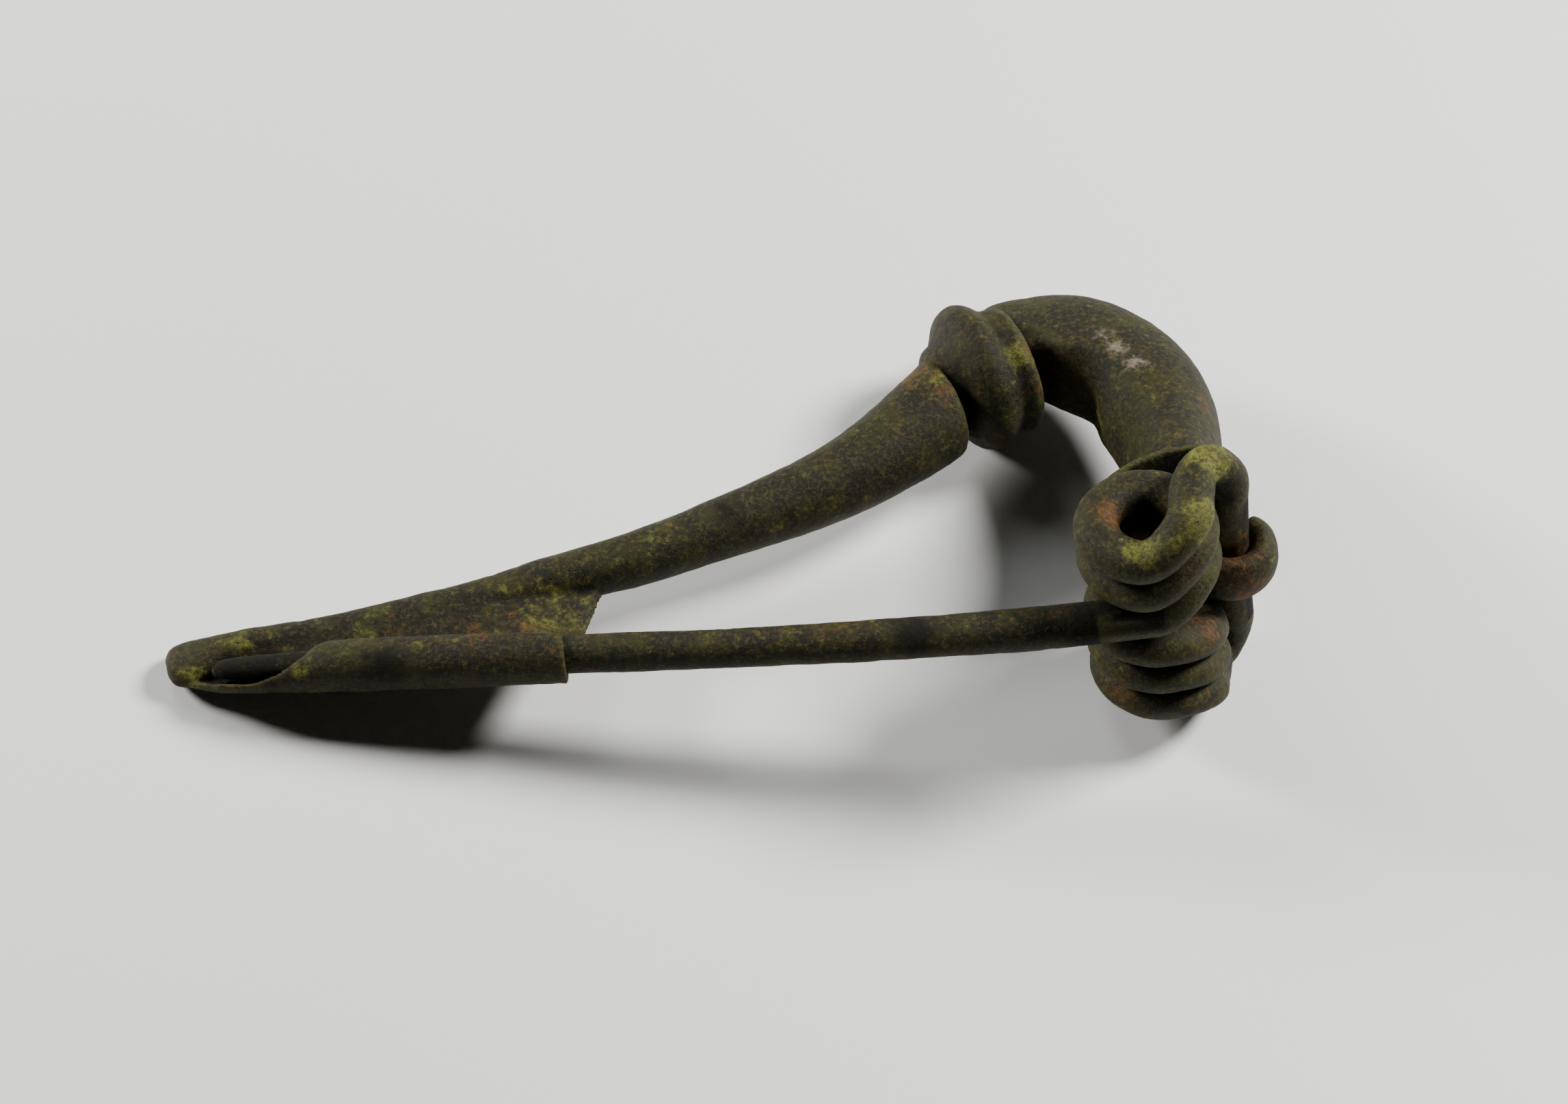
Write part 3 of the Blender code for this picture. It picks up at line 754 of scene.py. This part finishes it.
def catch_ring(back, slant, thickness):
    """The catch's section: flat down from the foot, then round the pin as far as the roll goes here."""
    wire = in_mm(bpy.context.scene.wire_sizes.radius)
    _, height, radius = read_station(pin_rows(), back)
    foot_rows = []
    for foot_back, rise, _, half_width, _, _ in FOOT_SECTIONS:
        x, z = from_head(foot_back, rise)
        foot_rows.append((-x, z, share(half_width)))
    foot_height, foot_half_width = read_station(foot_rows, back)
    (end_angle,) = read_station([(share(place), angle) for place, angle in ROLL_ANGLES], back)
    start, tuck_start, end = share(CATCH_START), share(CATCH_TUCK_START), share(CATCH_END)
    roomy = np.clip((back - start) / (tuck_start - start), 0.0, 1.0)
    tucked = np.clip((back - tuck_start) / (end - tuck_start), 0.0, 1.0)
    swollen = np.clip((back - start) / share(CATCH_SWELL_EASE), 0.0, 1.0)
    reach = radius + CATCH_CLEARANCE + thickness / 2 + CATCH_ROOM * wire * roomy
    side = thickness / 2 - reach + tucked * CATCH_TUCK[0] * wire
    height += tucked * CATCH_TUCK[1] * wire
    reach += tucked * CATCH_TUCK[2] * wire
    line = [(side + reach, foot_height), (side + reach, height + CATCH_FOLD * (foot_height - height))]
    thick = [thickness, thickness]
    for step in range(ROLL_STEPS + 1):
        round_it = step / ROLL_STEPS
        angle = math.radians(-end_angle * round_it)
        line.append((side + reach * math.cos(angle), height + reach * math.sin(angle)))
        thick.append(thickness * (1.0 - (1.0 - ROLL_EDGE) * round_it**2))
    outline = offset_outline(line, thick)
    outline[-1, 0] -= CATCH_SWELL * foot_half_width * swollen
    pin_top = height + SLANT_FROM * reach
    rise = slant * np.maximum(0.0, outline[:, 1] - pin_top) / (foot_height - pin_top)
    return np.column_stack([-back + rise, outline])


def catch(thickness):
    rings = []
    for step in range(CATCH_STEPS + 1):
        along = step / CATCH_STEPS
        back = share(CATCH_START + (CATCH_END - CATCH_START) * along)
        rings.append(catch_ring(back, share(CATCH_SLANT) * (1.0 - along), thickness))
    return skin(rings)


def lying():
    """The matrix that lays the upright brooch, in millimetres, on its far side, in metres."""
    tilt = math.radians(LIE_TILT)
    twist = math.radians(LIE_TWIST)
    up = Vector((math.sin(tilt), -math.cos(tilt) * math.cos(twist), -math.cos(tilt) * math.sin(twist)))
    along = (Vector((1.0, 0.0, 0.0)) - up * up.x).normalized()
    turn = Matrix((along, up.cross(along), up)).to_4x4()
    return Matrix.Scale(MM, 4) @ Matrix.Translation(SPRING_PLACE) @ turn


def closed_mesh(name, forms):
    """One mesh of several closed forms, with all their faces outwards."""
    bm = bmesh.new()
    for points, faces in forms:
        corners = [bm.verts.new(point) for point in points]
        for face in faces:
            bm.faces.new([corners[index] for index in face])
    bmesh.ops.recalc_face_normals(bm, faces=bm.faces)
    mesh = bpy.data.meshes.new(name)
    bm.to_mesh(mesh)
    bm.free()
    return mesh


def cast_together(name, forms):
    """The forms melted into one skin of an even grain, with no seams between them."""
    rough = bpy.data.objects.new(name, closed_mesh(name, forms))
    bpy.context.scene.collection.objects.link(rough)
    melt = rough.modifiers.new("melt", "REMESH")
    melt.mode = "VOXEL"
    melt.voxel_size = CASTING_GRAIN
    melt.adaptivity = 0.0
    graph = bpy.context.evaluated_depsgraph_get()
    mesh = bpy.data.meshes.new_from_object(rough.evaluated_get(graph))
    bpy.data.objects.remove(rough, do_unlink=True)
    return mesh


def mesh_points(mesh):
    points = np.empty(len(mesh.vertices) * 3)
    mesh.vertices.foreach_get("co", points)
    return points.reshape(-1, 3)


def mesh_normals(mesh):
    normals = np.empty(len(mesh.vertices) * 3)
    mesh.vertices.foreach_get("normal", normals)
    return normals.reshape(-1, 3)


def set_points(mesh, points):
    mesh.vertices.foreach_set("co", points.ravel())
    mesh.update()


class Neighbours:
    """Averages a value over each point's neighbours on a mesh."""

    def __init__(self, mesh):
        pairs = np.empty(len(mesh.edges) * 2, np.int64)
        mesh.edges.foreach_get("vertices", pairs)
        pairs = pairs.reshape(-1, 2)
        self.start = np.concatenate([pairs[:, 0], pairs[:, 1]])
        self.end = np.concatenate([pairs[:, 1], pairs[:, 0]])
        self.size = len(mesh.vertices)
        self.count = np.maximum(np.bincount(self.start, minlength=self.size), 1)

    def average(self, values):
        """The neighbours' mean of an array with a row for each point."""
        columns = [
            np.bincount(self.start, weights=column[self.end], minlength=self.size) / self.count
            for column in values.T
        ]
        return np.column_stack(columns)

    def relax(self, values, times, amount):
        for _ in range(times):
            values = values + (self.average(values) - values) * amount
        return values


def rub_down(mesh):
    """Takes the sharpness off the edges and corners, as wear does."""
    set_points(mesh, Neighbours(mesh).relax(mesh_points(mesh), RUB_DOWN, RUB_AMOUNT))


def weather(mesh, seed):
    """Gives the skin shallow waves, dents and pits."""
    points = mesh_points(mesh)
    normals = mesh_normals(mesh)
    shift = Vector(PATTERN_SHIFT) * seed
    lift = np.full(len(points), SKIN_SWELL)
    for index, point in enumerate(points):
        place = Vector(point) + shift
        for closeness, strength in SKIN_WAVES:
            lift[index] += strength * noise.noise(place * closeness)
        near, _ = noise.voronoi(place * PITS_TO_MM)
        lift[index] -= PIT_DEPTH * max(0.0, 1.0 - near[0] * PIT_NARROWNESS)
    set_points(mesh, points + normals * lift[:, None])


def keep_in_box(mesh):
    """Trims the laid mesh, in metres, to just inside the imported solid's box."""
    low, high = (np.array(corner) for corner in SOLID_BOX)
    set_points(mesh, np.clip(mesh_points(mesh), low + BOX_INSET * MM, high - BOX_INSET * MM))


def spot_mask(points, spots):
    """How strongly the spots show at each point."""
    mask = np.zeros(len(points))
    for x, y, z, radius, strength in spots:
        away = np.linalg.norm(points - (x, y, z), axis=1) / radius
        near = np.clip(1.0 - away, 0.0, 1.0)
        mask = np.maximum(mask, strength * near * near * (3.0 - 2.0 * near) ** 0.5)
    return mask


def hollow_mask(mesh):
    """Above half in the creases, and below half on the ridges."""
    points = mesh_points(mesh)
    relaxed = Neighbours(mesh).relax(points, *HOLLOW_RELAX)
    depth = np.einsum("ij,ij->i", relaxed - points, mesh_normals(mesh))
    depth -= np.median(depth)
    return np.clip(0.5 + depth / HOLLOW_DEPTH, 0.0, 1.0)


def shelter_mask(mesh):
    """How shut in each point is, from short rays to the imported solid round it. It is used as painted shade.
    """
    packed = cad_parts["brooch"].data
    corners = [corner.co for corner in packed.vertices]
    solid = BVHTree.FromPolygons(corners, [face.vertices for face in packed.polygons])
    place = lying()
    points = [place @ Vector(point) for point in mesh_points(mesh)]
    turn = place.to_3x3().normalized()
    reach = SHELTER_REACH * MM
    spread = math.radians(SHELTER_SPREAD)
    shut = np.zeros(len(points))
    for index, normal in enumerate(mesh_normals(mesh)):
        way = turn @ Vector(normal)
        across = way.orthogonal().normalized()
        other = way.cross(across)
        start = points[index] + way * SHELTER_START * MM
        found = 0.0
        for ray in range(SHELTER_RAYS):
            angle = math.tau * ray / SHELTER_RAYS
            lean = (across * math.cos(angle) + other * math.sin(angle)) * math.sin(spread)
            hit = solid.ray_cast(start, way * math.cos(spread) + lean, reach)
            if hit[3] is not None:
                found += 1.0 - hit[3] / reach
        shut[index] = found / SHELTER_RAYS
    return Neighbours(mesh).relax(shut[:, None], *SHELTER_RELAX)[:, 0]


def store(mesh, name, values):
    layer = mesh.attributes.new(name, "FLOAT", "POINT")
    layer.data.foreach_set("value", values.astype(np.float32))


def finish_piece(name, mesh, seed, material):
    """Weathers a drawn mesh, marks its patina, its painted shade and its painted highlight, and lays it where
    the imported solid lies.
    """
    weather(mesh, seed)
    points = mesh_points(mesh)
    store(mesh, "copper", spot_mask(points, COPPER_SPOTS))
    store(mesh, "green", spot_mask(points, GREEN_SPOTS))
    store(mesh, "scrape", spot_mask(points, SCRAPES))
    store(mesh, "dirt", spot_mask(points, PAINTED_SHADE_AND_DARK_SPOTS))
    store(mesh, "hollow", hollow_mask(mesh))
    store(mesh, "shelter", shelter_mask(mesh))
    mesh.transform(lying())
    keep_in_box(mesh)
    mesh.materials.append(material)
    mesh.shade_smooth()
    piece = bpy.data.objects.new(name, mesh)
    bpy.context.scene.collection.objects.link(piece)
    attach(piece, "root")
    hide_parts("brooch")


# Which of the mixing node's sockets are for colours
MIX_COLOURS = (6, 7)
MIX_RESULT = 2


class Link:
    """A shader socket, with the sums that the finishes do on it."""

    def __init__(self, finish, socket):
        self.finish = finish
        self.socket = socket

    def sum_with(self, operation, first, second):
        return self.finish.node("ShaderNodeMath", {"operation": operation}, {0: first, 1: second})

    def __add__(self, other):
        return self.sum_with("ADD", self, other)

    def __radd__(self, other):
        return self.sum_with("ADD", other, self)

    def __sub__(self, other):
        return self.sum_with("SUBTRACT", self, other)

    def __rsub__(self, other):
        return self.sum_with("SUBTRACT", other, self)

    def __mul__(self, other):
        return self.sum_with("MULTIPLY", self, other)


class Finish:
    """A material and the nodes put into it."""

    def __init__(self, name):
        self.material = bpy.data.materials.new(name)
        self.material.use_nodes = True
        self.tree = self.material.node_tree
        self.tree.nodes.clear()

    def node(self, kind, settings, inputs, output=0):
        made = self.tree.nodes.new(kind)
        for name, value in settings.items():
            setattr(made, name, value)
        for key, value in inputs.items():
            if isinstance(value, Link):
                self.tree.links.new(value.socket, made.inputs[key])
            else:
                made.inputs[key].default_value = value
        return Link(self, made.outputs[output])

    def place(self):
        """The place on the brooch, in millimetres."""
        spot = self.node("ShaderNodeTexCoord", {}, {}, "Object")
        return self.node("ShaderNodeVectorMath", {"operation": "SCALE"}, {0: spot, "Scale": 1.0 / MM})

    def clouds(self, place, pattern):
        """Clouds of a pattern that gives how many to the millimetre, their detail, roughness and warp."""
        inputs = {"Vector": place}
        inputs.update(zip(("Scale", "Detail", "Roughness", "Distortion"), pattern))
        return self.node("ShaderNodeTexNoise", {}, inputs)

    def between(self, value, limits):
        """0 below the limits, 1 above them and smooth between them."""
        inputs = {"Value": value, "From Min": limits[0], "From Max": limits[1]}
        return self.node("ShaderNodeMapRange", {"interpolation_type": "SMOOTHSTEP"}, inputs)

    def mark(self, name):
        return self.node("ShaderNodeAttribute", {"attribute_name": name}, {}, "Fac")

    def blend(self, amount, first, second):
        """The first colour, with this amount of the second over it."""
        settings = {"data_type": "RGBA", "clamp_factor": True}
        colours = {0: amount}
        for key, colour in zip(MIX_COLOURS, (first, second)):
            colours[key] = colour if isinstance(colour, Link) else (*colour, 1.0)
        return self.node("ShaderNodeMix", settings, colours, MIX_RESULT)

    def surface(self, inputs):
        shader = self.node("ShaderNodeBsdfPrincipled", {}, inputs)
        shown = self.tree.nodes.new("ShaderNodeOutputMaterial")
        self.tree.links.new(shader.socket, shown.inputs["Surface"])
        return self.material


def old_bronze():
    """Matt olive patina with brown clouds, green bloom, copper spots, pale dust and soil in the hollows, with
    painted shade where the brooch is shut in and round the pin's point, and a painted highlight in green on
    the knob's second ring.
    """
    made = bpy.data.materials.get("old_bronze")
    if made:
        return made
    colours = bpy.context.scene.patina_colours
    finish = Finish("old_bronze")
    place = finish.place()
    hollow = finish.mark("hollow")
    clouds = finish.clouds(place, BROWN_CLOUDS)
    mottle = finish.clouds(place, MOTTLE_CLOUDS)
    grain = finish.clouds(place, GRAIN_CLOUDS)
    dust = finish.clouds(place, DUST_CLOUDS)
    bloom = finish.clouds(place, BLOOM_CLOUDS)
    rust = finish.clouds(place, RUST_CLOUDS)
    streaks = finish.clouds(place, STREAK_CLOUDS)
    pits = finish.between(finish.clouds(place, PIT_CLOUDS), PIT_RANGE)

    brown = finish.between(clouds, BROWN_RANGE)
    colour = finish.blend(brown * BROWN_COVER, tuple(colours.olive), tuple(colours.brown))
    mottled = finish.between(mottle, MOTTLE_RANGE)
    colour = finish.blend(mottled * MOTTLE_COVER, colour, tuple(colours.brown))
    grainy = finish.between(grain, GRAIN_RANGE)
    colour = finish.blend(grainy * GRAIN_COVER, colour, tuple(colours.tan))

    # Painted shade: the shelter mark and the first dark spots darken the colour where the brooch is shut in
    # and round the pin's point in the roll.
    shelter = finish.mark("shelter") * SHADE_FROM_SHELTER
    dirt = finish.mark("dirt") * SOIL_AND_SHADE_FROM_SPOTS
    soil_and_shade = finish.between(hollow + shelter + dirt + (grain - 0.5) * SOIL_GRAIN, SOIL_AND_SHADE_RANGE)
    colour = finish.blend(soil_and_shade * SOIL_AND_SHADE_COVER, colour, tuple(colours.soil_and_shade))

    thin = finish.between(grain, THIN_RANGE) * (1.0 - THIN_LEAST) + THIN_LEAST
    film = finish.between(bloom, BLOOM_RANGE) * (BLOOM_COVER[0] - soil_and_shade * BLOOM_COVER[1])
    # The green spots include a painted highlight on the knob's second ring.
    spots = finish.between(finish.mark("green") + (bloom - 0.5) * SPOT_RAGGED, SPOT_RANGE)
    colour = finish.blend((film + spots * GREEN_COVER) * thin, colour, tuple(colours.green))
    freckles = finish.between(rust, RUST_RANGE) * (FRECKLE_COVER[0] - soil_and_shade * FRECKLE_COVER[1])
    patches = finish.between(finish.mark("copper") + (rust - 0.5) * SPOT_RAGGED, SPOT_RANGE)
    colour = finish.blend((freckles + patches * COPPER_COVER) * thin, colour, tuple(colours.copper))

    ridge = finish.between(0.5 - hollow, RIDGE_RANGE)
    colour = finish.blend(ridge * thin * RIDGE_COVER, colour, tuple(colours.tan))
    scraped = finish.between(finish.mark("scrape") + (streaks - 0.5) * SCRAPE_RAGGED, SCRAPE_RANGE)
    colour = finish.blend(scraped * SCRAPE_COVER, colour, tuple(colours.scrape))
    specks = finish.between(dust, DUST_RANGE) * (DUST_COVER[0] - soil_and_shade * DUST_COVER[1])
    colour = finish.blend(specks, colour, tuple(colours.tan))

    relief = grain * RELIEF_GRAIN + mottle * RELIEF_MOTTLE + dust * RELIEF_DUST - pits * RELIEF_PITS
    height = {"Strength": RELIEF_STRENGTH, "Distance": RELIEF_HEIGHT * MM, "Height": relief}
    bump = finish.node("ShaderNodeBump", {}, height)
    bare, grained, soiled = ROUGHNESS
    skin_inputs = {"Base Color": colour, "Normal": bump, "Specular IOR Level": SHEEN}
    skin_inputs["Roughness"] = bare + grain * grained + soil_and_shade * soiled
    return finish.surface(skin_inputs)


def pale_floor():
    """Smooth pale laminate with a faint unevenness."""
    colour = tuple(bpy.context.scene.picture_set.floor)
    finish = Finish("pale_floor")
    clouds = finish.clouds(finish.place(), FLOOR_CLOUDS)
    darker = tuple(channel * FLOOR_SHADE for channel in colour)
    shade = finish.blend(clouds, colour, darker)
    rough = FLOOR_ROUGHNESS[0] + clouds * FLOOR_ROUGHNESS[1]
    return finish.surface({"Base Color": shade, "Roughness": rough})


def floor_disc(name, radius):
    """A wide round floor, with its rings closer together near the brooch."""
    points = [(0.0, 0.0, 0.0)]
    faces = []
    for ring in range(1, FLOOR_RINGS + 1):
        reach = radius * (ring / FLOOR_RINGS) ** 2
        for side in range(FLOOR_SIDES):
            angle = math.tau * side / FLOOR_SIDES
            points.append((reach * math.cos(angle), reach * math.sin(angle), 0.0))
    for side in range(FLOOR_SIDES):
        beside = (side + 1) % FLOOR_SIDES
        faces.append((0, 1 + side, 1 + beside))
        for ring in range(FLOOR_RINGS - 1):
            inner = 1 + ring * FLOOR_SIDES
            outer = inner + FLOOR_SIDES
            faces.append((inner + side, outer + side, outer + beside, inner + beside))
    mesh = bpy.data.meshes.new(name)
    mesh.from_pydata([Vector(point) * MM for point in points], [], faces)
    return mesh


def soft_light(name, bearing, height, width, power, colour):
    """A soft round light this way from the brooch, its bearing and height in degrees, facing it."""
    data = bpy.data.lights.new(name, "AREA")
    data.shape = "DISK"
    data.size = width * MM
    data.energy = power
    data.color = colour
    lamp = bpy.data.objects.new(name, data)
    bpy.context.scene.collection.objects.link(lamp)
    turn = math.radians(bearing)
    rise = math.radians(height)
    way = Vector((math.cos(rise) * math.cos(turn), math.cos(rise) * math.sin(turn), math.sin(rise)))
    lamp.location = way * LIGHT_DISTANCE * MM
    lamp.rotation_euler = (-way).to_track_quat("-Z", "Y").to_euler()


class BROOCH_OT_bow(bpy.types.Operator):
    """Makes the cast bow with its knob, foot, catch, plate and hook"""

    bl_idname = "brooch.bow"
    bl_label = "Bow"

    def execute(self, context):
        sizes = context.scene.cast_sizes
        forms = [
            bow_length(FOOT_SECTIONS),
            bow_length(TRUMPET_SECTIONS),
            knob(),
            support_plate(in_mm(sizes.plate_thickness), in_mm(sizes.plate_half_width)),
            catch(in_mm(sizes.catch_thickness)),
            Spring(context.scene.wire_sizes).hook(in_mm(sizes.hook_radius)),
        ]
        mesh = cast_together("bow", forms)
        rub_down(mesh)
        finish_piece("bow", mesh, 1, old_bronze())
        return {"FINISHED"}


class BROOCH_OT_spring(bpy.types.Operator):
    """Makes the coiled spring and the pin, of one wire"""

    bl_idname = "brooch.spring"
    bl_label = "Spring and pin"

    def execute(self, context):
        mesh = closed_mesh("spring_and_pin", [Spring(context.scene.wire_sizes).wire()])
        finish_piece("spring_and_pin", mesh, 2, old_bronze())
        return {"FINISHED"}


class BROOCH_OT_studio(bpy.types.Operator):
    """Makes the pale floor, the soft lights and the camera"""

    bl_idname = "brooch.studio"
    bl_label = "Studio"

    def execute(self, context):
        scene = context.scene
        studio = scene.picture_set
        mesh = floor_disc("floor", FLOOR_RADIUS)
        mesh.materials.append(pale_floor())
        floor = bpy.data.objects.new("floor", mesh)
        scene.collection.objects.link(floor)
        for name, bearing, height, width, colour in LIGHTS:
            soft_light(name + "_light", bearing, height, width, getattr(studio, name), colour)
        world = bpy.data.worlds.new("pale_room")
        world.use_nodes = True
        backing = world.node_tree.nodes["Background"]
        backing.inputs["Color"].default_value = ROOM_COLOUR
        backing.inputs["Strength"].default_value = studio.room
        scene.world = world
        data = bpy.data.cameras.new("camera")
        data.sensor_width = CAMERA_SENSOR
        data.lens = CAMERA_LENS
        data.clip_start = CAMERA_NEAREST * MM
        camera = bpy.data.objects.new("camera", data)
        scene.collection.objects.link(camera)
        camera.location = Vector(CAMERA_PLACE) * MM
        camera.rotation_euler = [math.radians(angle) for angle in CAMERA_TURN]
        scene.camera = camera
        return {"FINISHED"}


class BROOCH_PT_panel(bpy.types.Panel):
    """The brooch's pieces and sizes"""

    bl_idname = "BROOCH_PT_panel"
    bl_label = "Bow brooch"
    bl_space_type = "VIEW_3D"
    bl_region_type = "UI"
    bl_category = "Brooch"

    def draw(self, context):
        for group in GROUPS:
            box = self.layout.box()
            owner = getattr(context.scene, group)
            for name in GROUPS[group].__annotations__:
                box.prop(owner, name)
        for operator in OPERATORS:
            self.layout.operator(operator.bl_idname)


GROUPS = {
    "wire_sizes": WireSizes,
    "cast_sizes": CastSizes,
    "patina_colours": PatinaColours,
    "picture_set": PictureSet,
}
OPERATORS = (BROOCH_OT_bow, BROOCH_OT_spring, BROOCH_OT_studio)


def register():
    for made in (*GROUPS.values(), *OPERATORS, BROOCH_PT_panel):
        bpy.utils.register_class(made)
    for name, group in GROUPS.items():
        setattr(bpy.types.Scene, name, bpy.props.PointerProperty(type=group))


def unregister():
    for name in GROUPS:
        delattr(bpy.types.Scene, name)
    for made in (BROOCH_PT_panel, *reversed(OPERATORS), *GROUPS.values()):
        bpy.utils.unregister_class(made)


def main():
    register()
    bpy.ops.brooch.bow()
    bpy.ops.brooch.spring()
    bpy.ops.brooch.studio()


if __name__ == "__main__":
    main()
